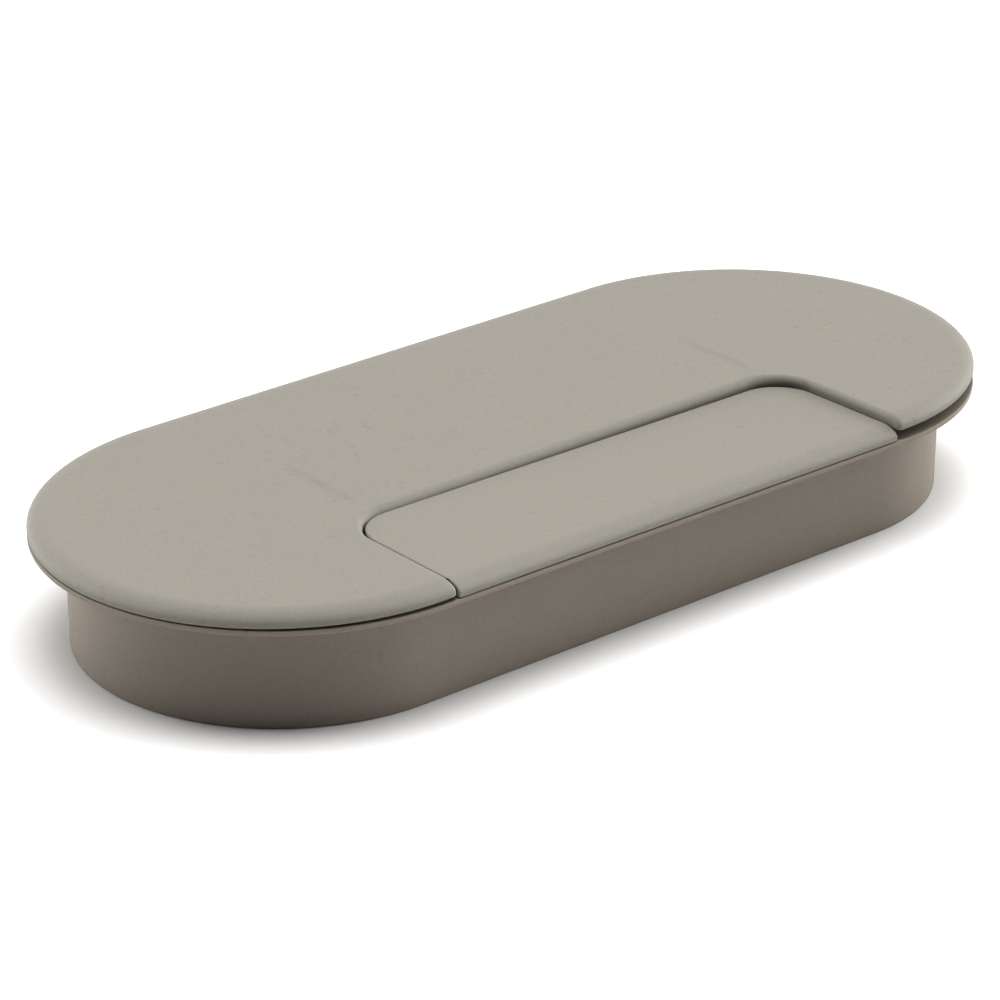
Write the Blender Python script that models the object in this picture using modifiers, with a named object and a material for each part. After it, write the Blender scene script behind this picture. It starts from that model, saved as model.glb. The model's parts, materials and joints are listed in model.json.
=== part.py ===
"""Oval desk grommet: a liner, a plug-in cover and a pivoting cable flap.

The frame is metres with +Z up. The origin is the centre of the liner's lower rim, +X runs along the
oval, and the flap is on the -Y side. Every solid is drawn with the grommet shut and level, and the
cover's pivot then tips the cover up by COVER_TIP about its left end.
"""
import math

import bmesh
import bpy
from mathutils import Matrix

MM = 0.001

# Overall outline: an oval with straight front and back sides and round ends.
LENGTH = 177 * MM
WIDTH = 80 * MM
HALF_STRAIGHT = (LENGTH - WIDTH) / 2
RIM_RADIUS = WIDTH / 2
ARC_STEPS = 24

# Liner.
LINER_HEIGHT = 19 * MM
FLANGE_THICKNESS = 0.9 * MM
SKIRT_RADIUS = 34.3 * MM
SKIRT_WALL = 2.0 * MM
BORE_RADIUS = SKIRT_RADIUS - SKIRT_WALL

# Cover.
SEAT_GAP = 0.3 * MM
PLATE_THICKNESS = 2.1 * MM
EDGE_RADIUS = 2.0 * MM
EDGE_SEGMENTS = 4
COVER_TIP = math.radians(0.69)
LOCATING_RIB_GAP = 0.4 * MM
RIB_THICKNESS = 1.5 * MM
LOCATING_RIB_DEPTH = 5.0 * MM
RIB_OPENING_HALF_WIDTH = 52 * MM
CROSS_RIB_DEPTH = 3.0 * MM
CROSS_RIB_X = 48.25 * MM
CROSS_RIB_FRONT = -9.5 * MM

# Cable flap and the cut-out that it fills.
FLAP_HALF_WIDTH = 46.2 * MM
FLAP_BACK = -12.3 * MM
FLAP_CORNER_RADIUS = 7.5 * MM
FLAP_EDGE_RADIUS = 0.4 * MM
FLAP_EDGE_SEGMENTS = 2
SEAM = 0.5 * MM
CORNER_STEPS = 8

# Flap pivot: pins pressed in the flap's lugs lie in notches that are open at the top of two cheeks.
PIVOT_Y = -22.0 * MM
PIVOT_Z = 17.6 * MM
PIN_RADIUS = 1.0 * MM
PIN_STEPS = 16
PIN_CLEARANCE = 0.3 * MM
PIN_INNER_X = 42.8 * MM
PIN_OUTER_X = 49.3 * MM
PIN_HEAD_RADIUS = 1.4 * MM
PIN_HEAD_THICKNESS = 0.8 * MM
LUG_RADIUS = 1.9 * MM
LUG_INNER_X = 44.0 * MM
LUG_OUTER_X = 45.8 * MM
CHEEK_INNER_X = 46.8 * MM
CHEEK_OUTER_X = 48.8 * MM
CHEEK_TOP = 18.9 * MM
CHEEK_RADIUS = 2.6 * MM
CHEEK_ROOT_Z = 7.0 * MM

# Colours and roughness.
PLASTIC_COLOUR = (0.27, 0.25, 0.208)
PLASTIC_ROUGHNESS = 0.6
STEEL_COLOUR = (0.62, 0.61, 0.59)
STEEL_ROUGHNESS = 0.3

# How far a tool reaches past the solid that it joins or cuts, and the sizes below which points and
# angles count as the same.
OVERLAP = 0.4 * MM
SAME_POINT = 0.001 * MM
FLAT_ANGLE = math.radians(0.5)
SHARP_ANGLE = math.radians(30)

PLATE_BOTTOM = LINER_HEIGHT + SEAT_GAP
PLATE_TOP = PLATE_BOTTOM + PLATE_THICKNESS

# Turns an outline drawn in X and Y into one in Y and Z that is extruded along X.
ALONG_X = Matrix(((0, 0, 1, 0), (1, 0, 0, 0), (0, 1, 0, 0), (0, 0, 0, 1)))


def clear_scene():
    """Remove every object, so that the script can run again in an open file."""
    for old in list(bpy.data.objects):
        bpy.data.objects.remove(old, do_unlink=True)


def new_collection(name):
    """The collection of the given name, linked to the scene."""
    collection = bpy.data.collections.get(name) or bpy.data.collections.new(name)
    if name not in bpy.context.scene.collection.children:
        bpy.context.scene.collection.children.link(collection)
    return collection


def arc(centre_x, centre_y, radius, start, end, steps):
    """Points on an arc, from one angle to another in degrees."""
    angles = [math.radians(start + (end - start) * i / steps) for i in range(steps + 1)]
    return [(centre_x + radius * math.cos(a), centre_y + radius * math.sin(a)) for a in angles]


def oval(radius):
    """The grommet's oval at a given end radius."""
    right_end = arc(HALF_STRAIGHT, 0, radius, -90, 90, ARC_STEPS)
    left_end = arc(-HALF_STRAIGHT, 0, radius, 90, 270, ARC_STEPS)
    return right_end + left_end


def notch(half_width, back, corner_radius, front):
    """The flap's outline: square corners at the front and round ones at the back."""
    corner_x = half_width - corner_radius
    corner_y = back - corner_radius
    right = arc(corner_x, corner_y, corner_radius, 0, 90, CORNER_STEPS)
    left = arc(-corner_x, corner_y, corner_radius, 90, 180, CORNER_STEPS)
    return [(-half_width, front), (half_width, front)] + right + left


def rectangle(x_low, x_high, y_low, y_high):
    """A rectangle's corners."""
    return [(x_low, y_low), (x_high, y_low), (x_high, y_high), (x_low, y_high)]


def extruded(name, outline, low, high, frame=Matrix()):
    """A closed mesh object: a flat outline extruded from low to high along the frame's Z."""
    curve = bpy.data.curves.new(name, 'CURVE')
    curve.dimensions = '2D'
    curve.fill_mode = 'BOTH'
    curve.extrude = (high - low) / 2
    spline = curve.splines.new('POLY')
    spline.points.add(len(outline) - 1)
    for point, (x, y) in zip(spline.points, outline):
        point.co = (x, y, 0, 1)
    spline.use_cyclic_u = True
    guide = bpy.data.objects.new(name + '_outline', curve)
    guide.matrix_world = frame @ Matrix.Translation((0, 0, (low + high) / 2))
    bpy.context.scene.collection.objects.link(guide)
    bpy.context.view_layer.update()
    evaluated = guide.evaluated_get(bpy.context.evaluated_depsgraph_get())
    mesh = bpy.data.meshes.new_from_object(evaluated)
    mesh.name = name
    mesh.transform(guide.matrix_world)
    bpy.data.objects.remove(guide, do_unlink=True)

    shape = bmesh.new()
    shape.from_mesh(mesh)
    bmesh.ops.remove_doubles(shape, verts=shape.verts, dist=SAME_POINT)
    bmesh.ops.dissolve_limit(
        shape, angle_limit=FLAT_ANGLE, verts=shape.verts, edges=shape.edges)
    bmesh.ops.recalc_face_normals(shape, faces=shape.faces)
    shape.to_mesh(mesh)
    shape.free()
    return bpy.data.objects.new(name, mesh)


def round_edges(solid, is_rounded, radius, segments):
    """Round the edges whose two end points both pass a test."""
    shape = bmesh.new()
    shape.from_mesh(solid.data)
    edges = [edge for edge in shape.edges if all(is_rounded(vert.co) for vert in edge.verts)]
    bmesh.ops.bevel(
        shape, geom=edges, offset=radius, segments=segments, profile=0.5, affect='EDGES')
    shape.to_mesh(solid.data)
    shape.free()


def at(value, target):
    """Whether a coordinate lies at a target value."""
    return abs(value - target) < SAME_POINT


def hang(solid, pivot):
    """Hang a solid, drawn in world coordinates, on a pivot empty."""
    if pivot is not None:
        solid.parent = pivot
        solid.location = -pivot.location


def combine(target, tool, operation, cutters):
    """Add a Boolean of a hidden tool to a target that shares its pivot."""
    tool.hide_render = True
    tool.display_type = 'WIRE'
    cutters.objects.link(tool)
    hang(tool, target.parent)
    step = target.modifiers.new(tool.name, 'BOOLEAN')
    step.operation = operation
    step.solver = 'EXACT'
    step.object = tool


def finish(solid, material):
    """Shade a solid smooth except at its sharp edges, and give it its material."""
    solid.data.shade_smooth()
    solid.data.set_sharp_from_angle(angle=SHARP_ANGLE)
    solid.data.materials.clear()
    solid.data.materials.append(material)


def make_material(name, colour, roughness, metallic):
    """A plain Principled material."""
    material = bpy.data.materials.new(name)
    material.use_nodes = True
    shader = material.node_tree.nodes['Principled BSDF']
    shader.inputs['Base Color'].default_value = (*colour, 1)
    shader.inputs['Roughness'].default_value = roughness
    shader.inputs['Metallic'].default_value = metallic
    return material


def make_liner(parts, cutters):
    """The skirt with its flange, and the two cheeks inside that carry the flap's pins."""
    liner = extruded('base_liner', oval(SKIRT_RADIUS), 0, LINER_HEIGHT - OVERLAP)
    parts.objects.link(liner)
    flange_bottom = LINER_HEIGHT - FLANGE_THICKNESS
    flange = extruded('liner_flange', oval(RIM_RADIUS), flange_bottom, LINER_HEIGHT)
    combine(liner, flange, 'UNION', cutters)
    bore = extruded('liner_bore', oval(BORE_RADIUS), -OVERLAP, LINER_HEIGHT + OVERLAP)
    combine(liner, bore, 'DIFFERENCE', cutters)

    root_y = -BORE_RADIUS - OVERLAP
    tip = arc(PIVOT_Y, PIVOT_Z - CHEEK_RADIUS / 2, CHEEK_RADIUS, -60, 0, CORNER_STEPS)
    cheek = [(root_y, CHEEK_TOP), (root_y, CHEEK_ROOT_Z)] + tip + [(tip[-1][0], CHEEK_TOP)]
    notch_radius = PIN_RADIUS + PIN_CLEARANCE
    seat = arc(PIVOT_Y, PIVOT_Z, notch_radius, 180, 360, CORNER_STEPS)
    mouth_z = CHEEK_TOP + OVERLAP
    slot = seat + [(PIVOT_Y + notch_radius, mouth_z), (PIVOT_Y - notch_radius, mouth_z)]
    for side, name in ((-1, 'left'), (1, 'right')):
        low, high = sorted((side * CHEEK_INNER_X, side * CHEEK_OUTER_X))
        combine(liner, extruded('cheek_' + name, cheek, low, high, ALONG_X), 'UNION', cutters)
        low, high = low - OVERLAP, high + OVERLAP
        combine(liner, extruded('slot_' + name, slot, low, high, ALONG_X), 'DIFFERENCE', cutters)
    finish(liner, make_material('liner_plastic', PLASTIC_COLOUR, PLASTIC_ROUGHNESS, 0))


def make_cover(parts, cutters):
    """The oval plate with the flap's cut-out, on a pivot at its left end, with ribs below."""
    pivot = bpy.data.objects.new('cover_pivot', None)
    pivot.location = (-LENGTH / 2, 0, PLATE_BOTTOM)
    pivot.rotation_euler.y = -COVER_TIP
    parts.objects.link(pivot)
    cover = extruded('cover', oval(RIM_RADIUS), PLATE_BOTTOM, PLATE_TOP)
    round_edges(cover, lambda co: at(co.z, PLATE_TOP), EDGE_RADIUS, EDGE_SEGMENTS)
    parts.objects.link(cover)
    hang(cover, pivot)

    outer = BORE_RADIUS - LOCATING_RIB_GAP
    rib_bottom = PLATE_BOTTOM - LOCATING_RIB_DEPTH
    rib = extruded('locating_rib', oval(outer), rib_bottom, PLATE_BOTTOM + OVERLAP)
    combine(cover, rib, 'UNION', cutters)
    hollow = extruded('rib_hollow', oval(outer - RIB_THICKNESS), rib_bottom - OVERLAP, PLATE_BOTTOM)
    combine(cover, hollow, 'DIFFERENCE', cutters)
    gate = rectangle(-RIB_OPENING_HALF_WIDTH, RIB_OPENING_HALF_WIDTH, -RIM_RADIUS, -BORE_RADIUS / 2)
    gap = extruded('rib_gap', gate, rib_bottom - OVERLAP, PLATE_BOTTOM)
    combine(cover, gap, 'DIFFERENCE', cutters)

    for side, name in ((-1, 'left'), (1, 'right')):
        low, high = (side * CROSS_RIB_X - RIB_THICKNESS / 2, side * CROSS_RIB_X + RIB_THICKNESS / 2)
        plan = rectangle(low, high, CROSS_RIB_FRONT, outer - RIB_THICKNESS / 2)
        bottom = PLATE_BOTTOM - CROSS_RIB_DEPTH
        cross_rib = extruded('cross_rib_' + name, plan, bottom, PLATE_BOTTOM + OVERLAP)
        combine(cover, cross_rib, 'UNION', cutters)
    plan = rectangle(
        -CROSS_RIB_X, CROSS_RIB_X, CROSS_RIB_FRONT, CROSS_RIB_FRONT + RIB_THICKNESS)
    bottom = PLATE_BOTTOM - CROSS_RIB_DEPTH
    long_rib = extruded('cut_out_rib', plan, bottom, PLATE_BOTTOM + OVERLAP)
    combine(cover, long_rib, 'UNION', cutters)

    outline = notch(
        FLAP_HALF_WIDTH + SEAM, FLAP_BACK + SEAM, FLAP_CORNER_RADIUS + SEAM, -WIDTH)
    cut_out = extruded('flap_cut_out', outline, PLATE_BOTTOM - OVERLAP, PLATE_TOP + OVERLAP)
    combine(cover, cut_out, 'DIFFERENCE', cutters)
    finish(cover, make_material('cover_plastic', PLASTIC_COLOUR, PLASTIC_ROUGHNESS, 0))


def make_flap(parts, cutters):
    """The flap with its lugs, and its two pins, on a pivot between the cheeks."""
    pivot = bpy.data.objects.new('flap_pivot', None)
    pivot.location = (0, PIVOT_Y, PIVOT_Z)
    parts.objects.link(pivot)
    outline = notch(FLAP_HALF_WIDTH, FLAP_BACK, FLAP_CORNER_RADIUS, -RIM_RADIUS)
    flap = extruded('cable_flap', outline, PLATE_BOTTOM, PLATE_TOP)
    parts.objects.link(flap)
    round_edges(
        flap, lambda co: at(co.z, PLATE_TOP) and at(co.y, -RIM_RADIUS), EDGE_RADIUS, EDGE_SEGMENTS)
    back_start = -RIM_RADIUS + EDGE_RADIUS
    round_edges(
        flap, lambda co: at(co.z, PLATE_TOP) and co.y > back_start + OVERLAP,
        FLAP_EDGE_RADIUS, FLAP_EDGE_SEGMENTS)
    hang(flap, pivot)

    lug = arc(PIVOT_Y, PIVOT_Z, LUG_RADIUS, 180, 360, CORNER_STEPS)
    lug_top = PLATE_BOTTOM + OVERLAP
    lug += [(PIVOT_Y + LUG_RADIUS, lug_top), (PIVOT_Y - LUG_RADIUS, lug_top)]
    hole = arc(PIVOT_Y, PIVOT_Z, PIN_RADIUS + PIN_CLEARANCE, 0, 360 - 360 / PIN_STEPS, PIN_STEPS - 1)
    steel = make_material('pin_steel', STEEL_COLOUR, STEEL_ROUGHNESS, 1)
    for side, name in ((-1, 'left'), (1, 'right')):
        low, high = sorted((side * LUG_INNER_X, side * LUG_OUTER_X))
        combine(flap, extruded('lug_' + name, lug, low, high, ALONG_X), 'UNION', cutters)
        low, high = low - OVERLAP, high + OVERLAP
        combine(flap, extruded('lug_hole_' + name, hole, low, high, ALONG_X), 'DIFFERENCE', cutters)
        make_pin('flap_pin_' + name, side, pivot, steel, parts)
    finish(flap, make_material('flap_plastic', PLASTIC_COLOUR, PLASTIC_ROUGHNESS, 0))


def make_pin(name, side, pivot, material, parts):
    """A headed pin: a profile turned about the pivot's axis, its head towards the middle."""
    shoulder_x = PIN_INNER_X + PIN_HEAD_THICKNESS
    profile = [
        (PIN_OUTER_X, 0), (PIN_OUTER_X, PIN_RADIUS), (shoulder_x, PIN_RADIUS),
        (shoulder_x, PIN_HEAD_RADIUS), (PIN_INNER_X, PIN_HEAD_RADIUS), (PIN_INNER_X, 0)]
    mesh = bpy.data.meshes.new(name)
    mesh.from_pydata(
        [(radius, 0, length) for length, radius in profile],
        [(i, i + 1) for i in range(len(profile) - 1)], [])
    pin = bpy.data.objects.new(name, mesh)
    parts.objects.link(pin)
    turn = pin.modifiers.new('turn', 'SCREW')
    turn.angle = math.tau
    turn.steps = PIN_STEPS
    turn.render_steps = PIN_STEPS
    turn.use_merge_vertices = True
    turn.merge_threshold = SAME_POINT
    pin.parent = pivot
    pin.rotation_euler.y = side * math.pi / 2
    finish(pin, material)


def main():
    """Build the grommet."""
    clear_scene()
    parts = new_collection('desk_grommet')
    cutters = new_collection('cutters')
    make_liner(parts, cutters)
    make_cover(parts, cutters)
    make_flap(parts, cutters)


main()
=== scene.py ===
import json
import math

import bmesh
import bpy
from mathutils import Matrix, Vector


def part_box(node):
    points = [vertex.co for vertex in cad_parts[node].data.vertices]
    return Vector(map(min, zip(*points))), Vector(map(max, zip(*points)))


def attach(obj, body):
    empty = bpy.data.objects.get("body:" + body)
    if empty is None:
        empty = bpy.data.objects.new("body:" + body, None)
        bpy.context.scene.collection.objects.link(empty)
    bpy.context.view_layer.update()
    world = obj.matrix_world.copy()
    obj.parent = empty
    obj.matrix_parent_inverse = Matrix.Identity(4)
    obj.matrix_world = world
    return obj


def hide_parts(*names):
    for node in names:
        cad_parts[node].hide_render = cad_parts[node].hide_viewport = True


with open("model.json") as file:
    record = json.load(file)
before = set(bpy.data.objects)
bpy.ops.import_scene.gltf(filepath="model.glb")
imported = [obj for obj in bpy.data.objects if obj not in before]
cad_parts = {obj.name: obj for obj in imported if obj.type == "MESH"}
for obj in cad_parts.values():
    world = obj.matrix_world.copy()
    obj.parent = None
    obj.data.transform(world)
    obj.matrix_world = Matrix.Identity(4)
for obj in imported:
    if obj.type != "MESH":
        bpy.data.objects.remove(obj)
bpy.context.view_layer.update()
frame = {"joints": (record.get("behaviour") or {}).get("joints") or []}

MM = 0.001

# ---------------------------------------------------------------- sizes, from the frame
joints = {joint["name"]: joint for joint in frame["joints"]}
liner_low, liner_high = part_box("base_liner")
flap_low, flap_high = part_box("cable_flap")
pin_low, pin_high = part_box("flap_pin_right")

LENGTH = liner_high.x - liner_low.x
WIDTH = liner_high.y - liner_low.y
HALF_STRAIGHT = (LENGTH - WIDTH) / 2
RIM_RADIUS = WIDTH / 2
FLANGE_TOP = liner_high.z
PLATE_TOP = flap_high.z
TIP_PIVOT = Vector(joints["cover_tip"]["pos_m"])
COVER_TIP = -math.radians(joints["cover_tip"]["range_deg"][0])
PLATE_BOTTOM = TIP_PIVOT.z
FLAP_PIVOT = Vector(joints["flap_hinge"]["pos_m"])

# ---------------------------------------------------------------- sizes of the fine shape
FLANGE_THICKNESS = 0.9 * MM
SKIRT_RADIUS = 34.3 * MM
BORE_RADIUS = 32.3 * MM
FLANGE_EDGE = 0.2 * MM
FLANGE_LOWER_EDGE = 0.3 * MM
SKIRT_EDGE = 0.25 * MM
FLANGE_FILLET = 0.5 * MM

NEAR = 0.01 * MM
COVER_RADIUS = RIM_RADIUS - NEAR
PLATE_UNDERSIDE = FLANGE_TOP + 0.1 * MM
RIM_ROUND_WIDTH = 3.4 * MM
RIM_ROUND_HEIGHT = 1.65 * MM
CUT_BACK_RADIUS = 1.5 * MM
CUT_SIDE_RADIUS = 0.95 * MM
CUT_TURN = math.radians(75)
SMALL_EDGE_RADIUS = 0.3 * MM
SIDE_SEAM = 0.25 * MM
BACK_SEAM = 0.4 * MM
FLAP_HALF_WIDTH = flap_high.x + 0.07 * MM
FLAP_CORNER_RADIUS = 7.5 * MM

RIB_GAP = 0.4 * MM
RIB_THICKNESS = 1.5 * MM
LOCATING_RIB_DEPTH = 5.0 * MM
RIB_OPENING_HALF_WIDTH = 52 * MM
CROSS_RIB_DEPTH = 3.0 * MM
CROSS_RIB_X = 48.25 * MM
CROSS_RIB_FRONT = -9.5 * MM

PIN_RADIUS = 1.0 * MM
PIN_HEAD_RADIUS = (pin_high.z - pin_low.z) / 2
PIN_HEAD_THICKNESS = 0.8 * MM
PIN_DOME = 0.2 * MM
PIN_DOME_ANGLE = 80
PIN_NECK = 0.1 * MM
PIN_CHAMFER = 0.25 * MM
LUG_RADIUS = 1.9 * MM
LUG_INNER_X = 44.0 * MM
LUG_OUTER_X = 45.8 * MM
CHEEK_INNER_X = 46.8 * MM
CHEEK_OUTER_X = 48.8 * MM
CHEEK_TOP = 18.9 * MM
CHEEK_RADIUS = 2.6 * MM
CHEEK_ROOT_Z = 7.0 * MM
HOLE_RADIUS = 1.1 * MM

ARC_STEPS = 96
CORNER_STEPS = 24
ROUND_STEPS = 12
RIM_STEPS = 20
FLANGE_EDGE_STEPS = 5
SKIRT_EDGE_STEPS = 4
CUT_EDGE_STEPS = 8
COVER_EDGE_STEPS = 3
FLAP_EDGE_STEPS = 4

OVERLAP = 0.4 * MM
MERGE_DISTANCE = 0.002 * MM
CREASE_ANGLE = math.radians(30)
SHARP_ANGLE = math.radians(50)

ALONG_X = Matrix(((0, 0, 1, 0), (1, 0, 0, 0), (0, 1, 0, 0), (0, 0, 0, 1)))


# ---------------------------------------------------------------- outlines
def arc(centre_x, centre_y, radius, start, end, steps):
    """Points on an arc, from one angle to another in degrees."""
    angles = [math.radians(start + (end - start) * i / steps) for i in range(steps + 1)]
    return [(centre_x + radius * math.cos(a), centre_y + radius * math.sin(a)) for a in angles]


def circle(centre_x, centre_y, radius):
    """Points round a whole circle."""
    return arc(centre_x, centre_y, radius, 0, 360, 2 * CORNER_STEPS)[:-1]


def oval(radius):
    """The grommet's oval at a given end radius."""
    right_end = arc(HALF_STRAIGHT, 0, radius, -90, 90, ARC_STEPS)
    left_end = arc(-HALF_STRAIGHT, 0, radius, 90, 270, ARC_STEPS)
    return right_end + left_end


def notch(half_width, back, corner_radius, front):
    """The flap's outline: square corners at the front and round ones at the back."""
    corner_x = half_width - corner_radius
    corner_y = back - corner_radius
    right = arc(corner_x, corner_y, corner_radius, 0, 90, CORNER_STEPS)
    left = arc(-corner_x, corner_y, corner_radius, 90, 180, CORNER_STEPS)
    return [(-half_width, front), (half_width, front)] + right + left


def rectangle(x_low, x_high, y_low, y_high):
    """A rectangle's corners."""
    return [(x_low, y_low), (x_high, y_low), (x_high, y_high), (x_low, y_high)]


# ---------------------------------------------------------------- solids
def new_object(name, shape):
    """An object made from a bmesh, which is freed."""
    mesh = bpy.data.meshes.new(name)
    shape.to_mesh(mesh)
    shape.free()
    made = bpy.data.objects.new(name, mesh)
    bpy.context.scene.collection.objects.link(made)
    return made


def extruded(name, outline, low, high, turn=Matrix()):
    """A closed solid: a flat outline extruded from low to high along the turned Z."""
    shape = bmesh.new()
    base = shape.faces.new([shape.verts.new((x, y, low)) for x, y in outline])
    grown = bmesh.ops.extrude_face_region(shape, geom=[base])
    top = [item for item in grown["geom"] if isinstance(item, bmesh.types.BMVert)]
    bmesh.ops.translate(shape, verts=top, vec=(0, 0, high - low))
    bmesh.ops.transform(shape, matrix=turn, verts=shape.verts)
    bmesh.ops.recalc_face_normals(shape, faces=shape.faces)
    return new_object(name, shape)


def swept(name, profile, is_ring):
    """A solid swept round the oval. The profile's points are (end radius, height); a ring's profile is a
    closed loop, and any other profile is closed by a flat face at its start and at its end."""
    shape = bmesh.new()
    rings = [[shape.verts.new((x, y, z)) for x, y in oval(radius)] for radius, z in profile]
    pairs = list(zip(rings, rings[1:]))
    if is_ring:
        pairs.append((rings[-1], rings[0]))
    for lower, upper in pairs:
        for i in range(len(lower)):
            j = (i + 1) % len(lower)
            shape.faces.new((lower[i], lower[j], upper[j], upper[i]))
    if not is_ring:
        shape.faces.new(list(reversed(rings[0])))
        shape.faces.new(rings[-1])
    bmesh.ops.recalc_face_normals(shape, faces=shape.faces)
    return new_object(name, shape)


def boolean(target, tool, operation):
    """Join a tool to a target, or cut it out of it, and remove the tool."""
    step = target.modifiers.new("step", "BOOLEAN")
    step.operation = operation
    step.solver = "EXACT"
    step.object = tool
    settle(target)
    bpy.data.objects.remove(tool, do_unlink=True)


def settle(target):
    """Replace a mesh by what its modifiers make of it."""
    bpy.context.view_layer.update()
    evaluated = target.evaluated_get(bpy.context.evaluated_depsgraph_get())
    mesh = bpy.data.meshes.new_from_object(evaluated)
    old = target.data
    target.modifiers.clear()
    target.data = mesh
    mesh.name = target.name
    bpy.data.meshes.remove(old)


def round_over(target, radius_of, segments):
    """Round each sharp edge by the radius that a function gives for its two ends."""
    shape = bmesh.new()
    shape.from_mesh(target.data)
    weight = shape.edges.layers.float.new("bevel_weight_edge")
    for edge in shape.edges:
        if len(edge.link_faces) == 2 and edge.calc_face_angle() > CREASE_ANGLE:
            edge[weight] = radius_of(*(vert.co for vert in edge.verts))
    largest = max(edge[weight] for edge in shape.edges)
    for edge in shape.edges:
        edge[weight] /= largest
    shape.to_mesh(target.data)
    shape.free()
    bevel = target.modifiers.new("rounding", "BEVEL")
    bevel.width = largest
    bevel.segments = segments
    bevel.limit_method = "WEIGHT"
    bevel.use_clamp_overlap = False
    settle(target)


def soften(target, segments):
    """Round every sharp edge a little, and shade the result."""
    bevel = target.modifiers.new("soft_edges", "BEVEL")
    bevel.width = SMALL_EDGE_RADIUS
    bevel.segments = segments
    bevel.limit_method = "ANGLE"
    bevel.angle_limit = SHARP_ANGLE
    bevel.use_clamp_overlap = False
    bevel.miter_outer = "MITER_ARC"
    settle(target)
    shade(target)


def shade(target):
    """Smooth shading in which large flat faces keep their own normal."""
    shape = bmesh.new()
    shape.from_mesh(target.data)
    bmesh.ops.remove_doubles(shape, verts=shape.verts, dist=MERGE_DISTANCE)
    bmesh.ops.recalc_face_normals(shape, faces=shape.faces)
    shape.to_mesh(target.data)
    shape.free()
    target.data.shade_smooth()
    target.data.set_sharp_from_angle(angle=SHARP_ANGLE)
    weigh = target.modifiers.new("flat_faces", "WEIGHTED_NORMAL")
    weigh.mode = "FACE_AREA"
    weigh.weight = 100
    weigh.keep_sharp = True


# ---------------------------------------------------------------- liner
def liner_profile():
    """The liner's section as a closed loop of (end radius, height), anticlockwise."""
    flange_bottom = FLANGE_TOP - FLANGE_THICKNESS
    edge, lower, rim, fillet = FLANGE_EDGE, FLANGE_LOWER_EDGE, SKIRT_EDGE, FLANGE_FILLET
    corners = [
        arc(SKIRT_RADIUS - rim, rim, rim, -90, 0, SKIRT_EDGE_STEPS),
        arc(SKIRT_RADIUS + fillet, flange_bottom - fillet, fillet, 180, 90, FLANGE_EDGE_STEPS),
        arc(RIM_RADIUS - lower, flange_bottom + lower, lower, -90, 0, FLANGE_EDGE_STEPS),
        arc(RIM_RADIUS - edge, FLANGE_TOP - edge, edge, 0, 90, FLANGE_EDGE_STEPS),
        arc(BORE_RADIUS + edge, FLANGE_TOP - edge, edge, 90, 180, FLANGE_EDGE_STEPS),
        arc(BORE_RADIUS + rim, rim, rim, 180, 270, SKIRT_EDGE_STEPS),
    ]
    return [point for corner in corners for point in corner]


def make_liner():
    """The skirt, flange and cheeks."""
    liner = swept("liner_shell", liner_profile(), True)
    root_y = -BORE_RADIUS - OVERLAP
    tip = arc(FLAP_PIVOT.y, FLAP_PIVOT.z - CHEEK_RADIUS / 2, CHEEK_RADIUS, -60, 0, ROUND_STEPS)
    cheek = [(root_y, CHEEK_TOP), (root_y, CHEEK_ROOT_Z)] + tip + [(tip[-1][0], CHEEK_TOP)]
    seat = arc(FLAP_PIVOT.y, FLAP_PIVOT.z, HOLE_RADIUS, 180, 360, CORNER_STEPS)
    mouth_z = CHEEK_TOP + OVERLAP
    slot = seat + [(FLAP_PIVOT.y + HOLE_RADIUS, mouth_z), (FLAP_PIVOT.y - HOLE_RADIUS, mouth_z)]
    for side in (-1, 1):
        low, high = sorted((side * CHEEK_INNER_X, side * CHEEK_OUTER_X))
        boolean(liner, extruded("cheek", cheek, low, high, ALONG_X), "UNION")
        low, high = low - OVERLAP, high + OVERLAP
        boolean(liner, extruded("slot", slot, low, high, ALONG_X), "DIFFERENCE")
    shade(liner)
    return liner


# ---------------------------------------------------------------- cover
def rim_section(outer):
    """The section shared by the cover's rim and the flap's front edge, from the underside to the top, as
    (distance outwards, height): a short upright face and a wide soft rounding."""
    rounding = [
        (outer - RIM_ROUND_WIDTH * (1 - across), PLATE_TOP - RIM_ROUND_HEIGHT * (1 - up))
        for across, up in arc(0, 0, 1, 0, 90, RIM_STEPS)]
    return [(outer, PLATE_UNDERSIDE)] + rounding


def cut_edge_radius(*ends):
    """The rounding of the cut-out's upper edge, given an edge's two ends: small along the sides, larger
    along the back and gradually changing round the corners. It is 0 for every other edge."""
    radius = FLAP_CORNER_RADIUS + SIDE_SEAM
    turned = []
    for end in ends:
        aside = abs(end.x) - (FLAP_HALF_WIDTH - FLAP_CORNER_RADIUS)
        behind = end.y - (flap_high.y + BACK_SEAM - radius)
        distance = math.hypot(aside, behind) if aside > 0 and behind > 0 else max(aside, behind)
        if abs(distance - radius) > NEAR:
            return 0
        turned.append(min(1, math.atan2(max(behind, 0), max(aside, 0)) / CUT_TURN))
    if sum(end.z for end in ends) / 2 < PLATE_UNDERSIDE + NEAR:
        return 0
    return CUT_SIDE_RADIUS + (CUT_BACK_RADIUS - CUT_SIDE_RADIUS) * sum(turned) / 2


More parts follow.
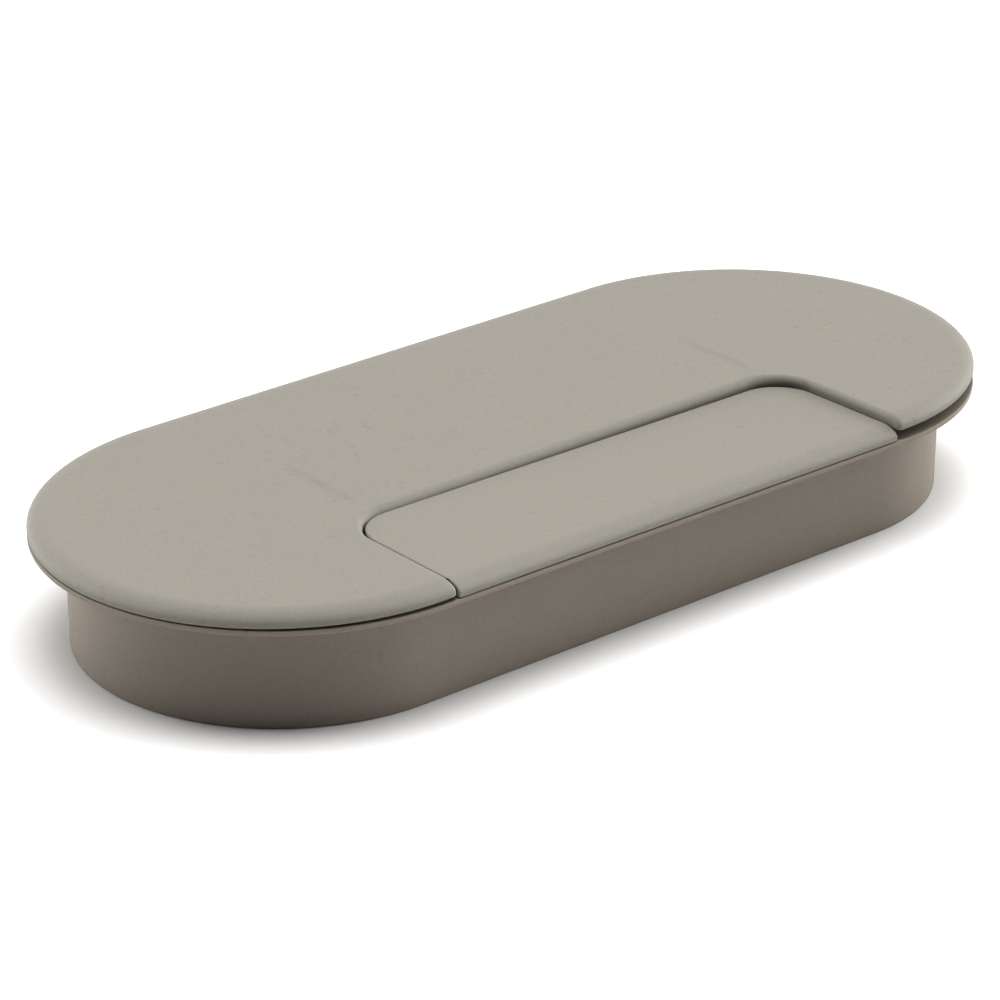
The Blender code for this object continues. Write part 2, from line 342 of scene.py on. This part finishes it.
def make_cover():
    """The plate with its rounded rim, the flap's cut-out and the ribs below, tipped as at rest."""
    cover = swept("cover_plate", rim_section(COVER_RADIUS), False)

    outer = BORE_RADIUS - RIB_GAP
    rib_bottom = PLATE_BOTTOM - LOCATING_RIB_DEPTH
    boolean(cover, extruded("rib", oval(outer), rib_bottom, PLATE_UNDERSIDE + OVERLAP), "UNION")
    hollow = extruded("hollow", oval(outer - RIB_THICKNESS), rib_bottom - OVERLAP, PLATE_UNDERSIDE)
    boolean(cover, hollow, "DIFFERENCE")
    gate = rectangle(-RIB_OPENING_HALF_WIDTH, RIB_OPENING_HALF_WIDTH, -RIM_RADIUS, -BORE_RADIUS / 2)
    boolean(cover, extruded("gate", gate, rib_bottom - OVERLAP, PLATE_UNDERSIDE), "DIFFERENCE")
    cross_bottom = PLATE_BOTTOM - CROSS_RIB_DEPTH
    for side in (-1, 1):
        middle = side * CROSS_RIB_X
        plan = rectangle(
            middle - RIB_THICKNESS / 2, middle + RIB_THICKNESS / 2,
            CROSS_RIB_FRONT, outer - RIB_THICKNESS / 2)
        boolean(cover, extruded("rib", plan, cross_bottom, PLATE_UNDERSIDE + OVERLAP), "UNION")
    plan = rectangle(-CROSS_RIB_X, CROSS_RIB_X, CROSS_RIB_FRONT, CROSS_RIB_FRONT + RIB_THICKNESS)
    boolean(cover, extruded("rib", plan, cross_bottom, PLATE_UNDERSIDE + OVERLAP), "UNION")

    outline = notch(
        FLAP_HALF_WIDTH + SIDE_SEAM, flap_high.y + BACK_SEAM, FLAP_CORNER_RADIUS + SIDE_SEAM, -WIDTH)
    cut = extruded("cut", outline, PLATE_UNDERSIDE - OVERLAP, PLATE_TOP + OVERLAP)
    boolean(cover, cut, "DIFFERENCE")
    round_over(cover, cut_edge_radius, CUT_EDGE_STEPS)
    soften(cover, COVER_EDGE_STEPS)

    tip = Matrix.Translation(TIP_PIVOT) @ Matrix.Rotation(-COVER_TIP, 4, "Y")
    cover.data.transform(tip @ Matrix.Translation(-TIP_PIVOT))
    return cover


# ---------------------------------------------------------------- flap and pins
def make_flap():
    """The flap: a bar with a rounded front edge, trimmed to the flap's outline, with two lugs."""
    front = flap_low.y
    edge = [(-outwards, height) for outwards, height in rim_section(-front)]
    section = edge + [(flap_high.y, PLATE_TOP), (flap_high.y, PLATE_UNDERSIDE)]
    flap = extruded("flap_plate", section, -FLAP_HALF_WIDTH, FLAP_HALF_WIDTH, ALONG_X)
    outline = notch(FLAP_HALF_WIDTH, flap_high.y, FLAP_CORNER_RADIUS, front - OVERLAP)
    trim = extruded("trim", outline, PLATE_UNDERSIDE - OVERLAP, PLATE_TOP + OVERLAP)
    boolean(flap, trim, "INTERSECT")

    lug = arc(FLAP_PIVOT.y, FLAP_PIVOT.z, LUG_RADIUS, 180, 360, CORNER_STEPS)
    lug_top = PLATE_UNDERSIDE + OVERLAP
    lug += [(FLAP_PIVOT.y + LUG_RADIUS, lug_top), (FLAP_PIVOT.y - LUG_RADIUS, lug_top)]
    hole = circle(FLAP_PIVOT.y, FLAP_PIVOT.z, HOLE_RADIUS)
    for side in (-1, 1):
        low, high = sorted((side * LUG_INNER_X, side * LUG_OUTER_X))
        boolean(flap, extruded("lug", lug, low, high, ALONG_X), "UNION")
        low, high = low - OVERLAP, high + OVERLAP
        boolean(flap, extruded("hole", hole, low, high, ALONG_X), "DIFFERENCE")
    soften(flap, FLAP_EDGE_STEPS)
    return flap


def make_pin(name, side):
    """A turned pivot pin: a low domed head on the inner side, a short neck and a chamfered end."""
    inner, outer = pin_low.x, pin_high.x
    head, shaft = PIN_HEAD_RADIUS, PIN_RADIUS
    chamfer, neck = PIN_CHAMFER, PIN_NECK
    dome = [
        (inner + PIN_DOME * (1 - up), (head - chamfer / 2) * across)
        for across, up in reversed(arc(0, 0, 1, 0, PIN_DOME_ANGLE, ROUND_STEPS))]
    head_end = inner + PIN_HEAD_THICKNESS
    profile = dome + [
        (inner + PIN_DOME + chamfer / 2, head), (head_end - chamfer / 2, head),
        (head_end, head - chamfer / 2), (head_end, shaft - neck),
        (head_end + neck, shaft - neck), (head_end + 2 * neck, shaft),
        (outer - chamfer, shaft), (outer, shaft - chamfer)]
    shape = bmesh.new()
    rings = []
    for along, radius in profile:
        ring = circle(FLAP_PIVOT.y, FLAP_PIVOT.z, radius)
        rings.append([shape.verts.new((side * along, y, z)) for y, z in ring])
    for near, far in zip(rings, rings[1:]):
        for i in range(len(near)):
            j = (i + 1) % len(near)
            shape.faces.new((near[i], near[j], far[j], far[i]))
    shape.faces.new(rings[0])
    shape.faces.new(rings[-1])
    bmesh.ops.recalc_face_normals(shape, faces=shape.faces)
    pin = new_object(name, shape)
    shade(pin)
    return pin


# ---------------------------------------------------------------- pieces
liner = make_liner()
cover = make_cover()
flap = make_flap()
left_pin = make_pin("pivot_pin_left", -1)
right_pin = make_pin("pivot_pin_right", 1)

for piece, node, body, slot in (
        (liner, "base_liner", "liner", "liner_plastic"),
        (cover, "cover", "cover", "cover_plastic"),
        (flap, "cable_flap", "flap", "flap_plastic"),
        (left_pin, "flap_pin_left", "flap", "pin_steel"),
        (right_pin, "flap_pin_right", "flap", "pin_steel")):
    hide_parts(node)
    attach(piece, body)


# ---------------------------------------------------------------- materials
COVER_COLOUR = (0.273, 0.261, 0.229)
# The liner's plastic colour with painted shade: it is made warmer and darker than the cover's to stand
# in for the warmer tone of the shaded skirt.
LINER_COLOUR_WARMED_AS_SHADE = (0.27, 0.241, 0.205)
STEEL_COLOUR = (0.56, 0.55, 0.53)
TONE_RANGE = 0.14
PLASTIC_ROUGHNESS = 0.78
ROUGHNESS_RANGE = 0.05
PLASTIC_SPECULAR = 0.3

GRAIN = 0.42 * MM
GRAIN_HEIGHT = 0.02 * MM
SPECK = 1.3 * MM
MOTTLE = 7 * MM
MOTTLE_HEIGHT = 0.012 * MM
SMEAR = 9 * MM
CLOUD = 45 * MM
SINK_MIDDLE = 1.3 * MM
SINK_APART = 41.8 * MM
SINK_HALF_WIDTH = 1.5 * MM
SINK_HEIGHT = 0.02 * MM
SINK_FRONT = -10 * MM
SINK_BACK = 12 * MM
SINK_FADE = 5 * MM

TURNING_MARK = 0.5 * MM
TURNING_MARK_HEIGHT = 0.004 * MM
GREASE = 1.5 * MM

# How much each pattern, running from 0 to 1, adds to the tone.
CLOUD_TONE = 0.05
MOTTLE_TONE = 0.05
GRAIN_TONE = 0.85
SPECK_TONE = -0.22
SMEAR_TONE = -0.06
RUBBED_TONE = 0.04
# Painted shade: the sink lines' dents are darkened in the colour as well as bumped.
SINK_PAINTED_SHADE_TONE = -0.26

# And to the roughness.
RUBBED_ROUGHNESS = -0.06
SMEAR_ROUGHNESS = -0.05


class Graph:
    """A material's node tree, built by short calls that return output sockets."""

    def __init__(self, name):
        self.material = bpy.data.materials.new(name)
        self.material.use_nodes = True
        self.nodes = self.material.node_tree.nodes
        self.links = self.material.node_tree.links
        self.shader = self.nodes["Principled BSDF"]
        coordinates = self.nodes.new("ShaderNodeTexCoord")
        self.place = coordinates.outputs["Object"]
        self.normal = coordinates.outputs["Normal"]

    def feed(self, socket, value):
        """Link an output to a socket, or set the socket to a number."""
        if isinstance(value, bpy.types.NodeSocket):
            self.links.new(value, socket)
        else:
            socket.default_value = value

    def node(self, kind, output, inputs, **settings):
        """One node with its settings and inputs; returns the named output."""
        made = self.nodes.new(kind)
        for key, value in settings.items():
            setattr(made, key, value)
        for key, value in inputs.items():
            self.feed(made.inputs[key], value)
        return made.outputs[output]

    def maths(self, operation, first, second=0.0):
        """A Math node."""
        return self.node("ShaderNodeMath", 0, {0: first, 1: second}, operation=operation)

    def noise(self, size, detail=2.0, stretch=(1, 1, 1), shift=(0, 0, 0)):
        """Noise between 0 and 1 whose lumps are about a given size in metres."""
        place = self.node(
            "ShaderNodeMapping", 0, {"Vector": self.place, "Scale": stretch, "Location": shift})
        return self.node(
            "ShaderNodeTexNoise", 0, {"Vector": place, "Scale": 1 / size, "Detail": detail})

    def step(self, value, start, end, first=0.0, last=1.0):
        """A smooth step from one number to another."""
        inputs = {"Value": value, "From Min": start, "From Max": end, "To Min": first, "To Max": last}
        return self.node("ShaderNodeMapRange", 0, inputs, interpolation_type="SMOOTHSTEP")

    def product(self, *factors):
        """The product of patterns and numbers."""
        result = factors[0]
        for factor in factors[1:]:
            result = self.maths("MULTIPLY", result, factor)
        return result

    def bump(self, height, distance, normal=None):
        """A bump from a height between 0 and 1, over an earlier normal."""
        inputs = {"Height": height, "Distance": distance}
        if normal is not None:
            inputs["Normal"] = normal
        return self.node("ShaderNodeBump", 0, inputs)

    def paint(self, tone, dark, light):
        """The base colour, from a dark colour where the tone is 0 to a light one where it is 1."""
        inputs = {0: tone, 6: (*dark, 1), 7: (*light, 1)}
        mixed = self.node("ShaderNodeMix", 2, inputs, data_type="RGBA")
        self.feed(self.shader.inputs["Base Color"], mixed)


def scaled(colour, factor):
    """A colour made darker or lighter."""
    return tuple(factor * channel for channel in colour)


def sink_lines(graph, mottle, upright):
    """Two faint sink lines on the cover's top, behind the flap's back corners: shallow dents whose shade
    is also painted darker into the colour.
    """
    along = graph.node("ShaderNodeSeparateXYZ", "X", {"Vector": graph.place})
    across = graph.node("ShaderNodeSeparateXYZ", "Y", {"Vector": graph.place})
    from_middle = graph.maths("ABSOLUTE", graph.maths("SUBTRACT", along, SINK_MIDDLE))
    aside = graph.maths("ABSOLUTE", graph.maths("SUBTRACT", from_middle, SINK_APART))
    return graph.product(
        graph.step(aside, 0, SINK_HALF_WIDTH, 1, 0),
        graph.step(across, SINK_FRONT, SINK_FRONT + SINK_FADE),
        graph.step(across, SINK_BACK - SINK_FADE, SINK_BACK, 1, 0),
        graph.step(mottle, 0.3, 0.6, 0.3, 1),
        graph.step(upright, 0.9, 0.99))


def plastic(name, colour, has_sinks=False):
    """Moulded plastic: spark-eroded grain, faint clouding, specks and smears, and rubbed edges."""
    graph = Graph(name)
    cloud = graph.noise(CLOUD, 2)
    mottle = graph.noise(MOTTLE, 3)
    grain = graph.noise(GRAIN, 3)
    specks = graph.step(graph.noise(SPECK, 0, shift=(3, 1, 2)), 0.74, 0.80)
    smear_lumps = graph.noise(SMEAR, 2, stretch=(0.35, 1, 1), shift=(0, 5, 0))
    smears = graph.product(graph.step(smear_lumps, 0.60, 0.78), graph.step(cloud, 0.45, 0.7))
    upright = graph.node("ShaderNodeSeparateXYZ", "Z", {"Vector": graph.normal})
    rubbed = graph.product(
        graph.step(upright, 0.15, 0.5),
        graph.step(upright, 0.8, 0.985, 1, 0),
        graph.step(mottle, 0.35, 0.65, 0.4, 1))

    patterns = [(SPECK_TONE, specks), (SMEAR_TONE, smears), (RUBBED_TONE, rubbed)]
    height = graph.bump(grain, GRAIN_HEIGHT)
    height = graph.bump(mottle, MOTTLE_HEIGHT, height)
    if has_sinks:
        sinks = sink_lines(graph, mottle, upright)
        # The sink lines' dents get painted shade in the colour, besides their bump.
        patterns.append((SINK_PAINTED_SHADE_TONE, sinks))
        height = graph.bump(sinks, -SINK_HEIGHT, height)

    tone = 0.5
    for amount, pattern in ((CLOUD_TONE, cloud), (MOTTLE_TONE, mottle), (GRAIN_TONE, grain)):
        tone = graph.maths("ADD", tone, graph.product(graph.maths("SUBTRACT", pattern, 0.5), amount))
    for amount, pattern in patterns:
        tone = graph.maths("ADD", tone, graph.product(pattern, amount))
    graph.paint(tone, scaled(colour, 1 - TONE_RANGE), scaled(colour, 1 + TONE_RANGE))

    gloss = graph.step(
        mottle, 0.2, 0.8, PLASTIC_ROUGHNESS - ROUGHNESS_RANGE, PLASTIC_ROUGHNESS + ROUGHNESS_RANGE)
    gloss = graph.maths("ADD", gloss, graph.product(rubbed, RUBBED_ROUGHNESS))
    gloss = graph.maths("ADD", gloss, graph.product(smears, SMEAR_ROUGHNESS))
    graph.feed(graph.shader.inputs["Roughness"], gloss)
    graph.feed(graph.shader.inputs["Normal"], height)
    graph.shader.inputs["Specular IOR Level"].default_value = PLASTIC_SPECULAR
    return graph.material


def turned_steel(name):
    """Bright steel with fine turning marks round the pivot's axis and faint grease."""
    graph = Graph(name)
    marks = graph.noise(TURNING_MARK, 3, stretch=(12, 1, 1))
    grease = graph.noise(GREASE, 2, shift=(1, 4, 2))
    tone = graph.maths("ADD", graph.product(marks, 0.5), graph.product(grease, 0.5))
    graph.paint(graph.step(tone, 0.35, 0.65), scaled(STEEL_COLOUR, 0.7), STEEL_COLOUR)
    graph.feed(graph.shader.inputs["Roughness"], graph.step(grease, 0.3, 0.7, 0.28, 0.45))
    graph.feed(graph.shader.inputs["Normal"], graph.bump(marks, TURNING_MARK_HEIGHT))
    graph.shader.inputs["Metallic"].default_value = 1
    return graph.material


def dress(piece, material):
    """Give a piece its material."""
    piece.data.materials.clear()
    piece.data.materials.append(material)


# The liner's colour carries painted shade: warmer and darker than the cover's plastic.
dress(liner, plastic("liner_plastic_warmed_as_painted_shade", LINER_COLOUR_WARMED_AS_SHADE))
dress(cover, plastic("cover_grained_plastic", COVER_COLOUR, has_sinks=True))
dress(flap, plastic("flap_grained_plastic", COVER_COLOUR))
steel = turned_steel("pin_turned_steel")
dress(left_pin, steel)
dress(right_pin, steel)


# ---------------------------------------------------------------- camera
CAMERA_AZIMUTH = math.radians(-39.95)
CAMERA_ELEVATION = math.radians(24.02)
CAMERA_DISTANCE = 573 * MM
CAMERA_SIDE = -3.87 * MM
CAMERA_RAISE = 7.47 * MM
CAMERA_LENS = 124.3
SENSOR_WIDTH = 36
CLIP_START = 10 * MM


def make_camera():
    """The camera, above the front left of the grommet, with the origin a little off its axis."""
    back = Vector((
        math.sin(CAMERA_AZIMUTH) * math.cos(CAMERA_ELEVATION),
        -math.cos(CAMERA_AZIMUTH) * math.cos(CAMERA_ELEVATION),
        math.sin(CAMERA_ELEVATION)))
    right = Vector((0, 0, 1)).cross(back).normalized()
    up = back.cross(right)
    data = bpy.data.cameras.new("camera")
    data.lens = CAMERA_LENS
    data.sensor_width = SENSOR_WIDTH
    data.clip_start = CLIP_START
    camera = bpy.data.objects.new("camera", data)
    turn = Matrix((right, up, back)).transposed().to_4x4()
    place = back * CAMERA_DISTANCE + right * CAMERA_SIDE + up * CAMERA_RAISE
    camera.matrix_world = Matrix.Translation(place) @ turn
    bpy.context.scene.collection.objects.link(camera)
    bpy.context.scene.camera = camera


make_camera()

# ---------------------------------------------------------------- floor and light
FLOOR_HALF_SIZE = 1500 * MM
FLOOR_COLOUR = (0.85, 0.85, 0.85)
FLOOR_ROUGHNESS = 0.9

# Each soft box: azimuth from the front towards the left, height above the horizon, half width, strength.
SOFT_BOXES = (
    (157, 0, 42, 8.8),
    (-77, 15, 42, 6.7),
    (0, 90, 30, 7.8),
)
FILL = 0.01
GAMMA = 0.8


def make_floor():
    """A plain pale floor."""
    shape = bmesh.new()
    bmesh.ops.create_grid(shape, x_segments=1, y_segments=1, size=FLOOR_HALF_SIZE)
    floor = new_object("floor", shape)
    material = bpy.data.materials.new("floor_white")
    material.use_nodes = True
    shader = material.node_tree.nodes["Principled BSDF"]
    shader.inputs["Base Color"].default_value = (*FLOOR_COLOUR, 1)
    shader.inputs["Roughness"].default_value = FLOOR_ROUGHNESS
    floor.data.materials.append(material)
    return floor


def make_world():
    """A studio with a low soft box behind, one at the right, one overhead and a faint fill."""
    world = bpy.data.worlds.new("studio")
    bpy.context.scene.world = world
    world.use_nodes = True
    nodes = world.node_tree.nodes
    links = world.node_tree.links
    direction = nodes.new("ShaderNodeTexCoord")
    total = None
    for azimuth, height, half_width, strength in SOFT_BOXES:
        azimuth, height = math.radians(azimuth), math.radians(height)
        towards = nodes.new("ShaderNodeVectorMath")
        towards.operation = "DOT_PRODUCT"
        towards.inputs[1].default_value = (
            -math.sin(azimuth) * math.cos(height),
            -math.cos(azimuth) * math.cos(height),
            math.sin(height))
        links.new(direction.outputs["Generated"], towards.inputs[0])
        glow = nodes.new("ShaderNodeMapRange")
        glow.interpolation_type = "SMOOTHSTEP"
        glow.inputs["From Min"].default_value = math.cos(math.radians(half_width))
        glow.inputs["To Max"].default_value = strength
        links.new(towards.outputs["Value"], glow.inputs["Value"])
        added = nodes.new("ShaderNodeMath")
        links.new(glow.outputs["Result"], added.inputs[0])
        if total is None:
            added.inputs[1].default_value = FILL
        else:
            links.new(total, added.inputs[1])
        total = added.outputs["Value"]
    links.new(total, nodes["Background"].inputs["Strength"])
    nodes["Background"].inputs["Color"].default_value = (1, 1, 1, 1)


floor = make_floor()
make_world()
bpy.context.scene.view_settings.view_transform = "Standard"
bpy.context.scene.view_settings.gamma = GAMMA
